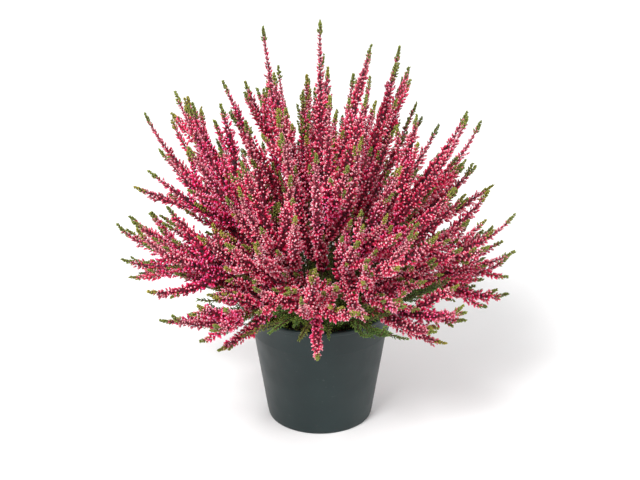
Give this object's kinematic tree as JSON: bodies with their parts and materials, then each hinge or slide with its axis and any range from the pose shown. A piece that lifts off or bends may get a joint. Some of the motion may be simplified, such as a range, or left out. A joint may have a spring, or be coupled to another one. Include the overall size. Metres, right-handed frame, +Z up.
{
  "type": "potted heather",
  "caption": "Bushy bud-flowering heather in a round plastic pot: pink flower spikes that fan out over the rim, with green leafy shoots.",
  "frame": {"origin": "middle of the flat pad under the pot, on the pot's axis", "axes": "+Z up along the pot's axis; the plant is much the same all round"},
  "size_m": [0.2814, 0.2824, 0.3026],
  "materials": {
    "pot": "matte",
    "peat": "matte",
    "leaf": "matte",
    "bloom": "matte"
  },
  "bodies": {
    "root": {"bloom_01": "bloom", "bloom_02": "bloom", "bloom_03": "bloom", "bloom_04": "bloom", "bloom_05": "bloom", "bloom_06": "bloom", "bloom_07": "bloom", "bloom_08": "bloom", "bloom_09": "bloom", "bloom_10": "bloom", "bloom_11": "bloom", "bloom_12": "bloom", "bloom_13": "bloom", "bloom_14": "bloom", "bloom_15": "bloom", "bloom_16": "bloom", "bloom_17": "bloom", "bloom_18": "bloom", "bloom_19": "bloom", "bloom_20": "bloom", "bloom_21": "bloom", "bloom_22": "bloom", "pot": "pot", "shoot_1": "leaf", "shoot_10": "leaf", "shoot_11": "leaf", "shoot_12": "leaf", "shoot_13": "leaf", "shoot_14": "leaf", "shoot_2": "leaf", "shoot_3": "leaf", "shoot_4": "leaf", "shoot_5": "leaf", "shoot_6": "leaf", "shoot_7": "leaf", "shoot_8": "leaf", "shoot_9": "leaf", "soil": "peat", "stem_01": "leaf", "stem_02": "leaf", "stem_03": "leaf", "stem_04": "leaf", "stem_05": "leaf", "stem_06": "leaf", "stem_07": "leaf", "stem_08": "leaf", "stem_09": "leaf", "stem_10": "leaf", "stem_11": "leaf", "stem_12": "leaf", "stem_13": "leaf", "stem_14": "leaf", "stem_15": "leaf", "stem_16": "leaf", "stem_17": "leaf", "stem_18": "leaf", "stem_19": "leaf", "stem_20": "leaf", "stem_21": "leaf", "stem_22": "leaf"}
  },
  "joints": []
}
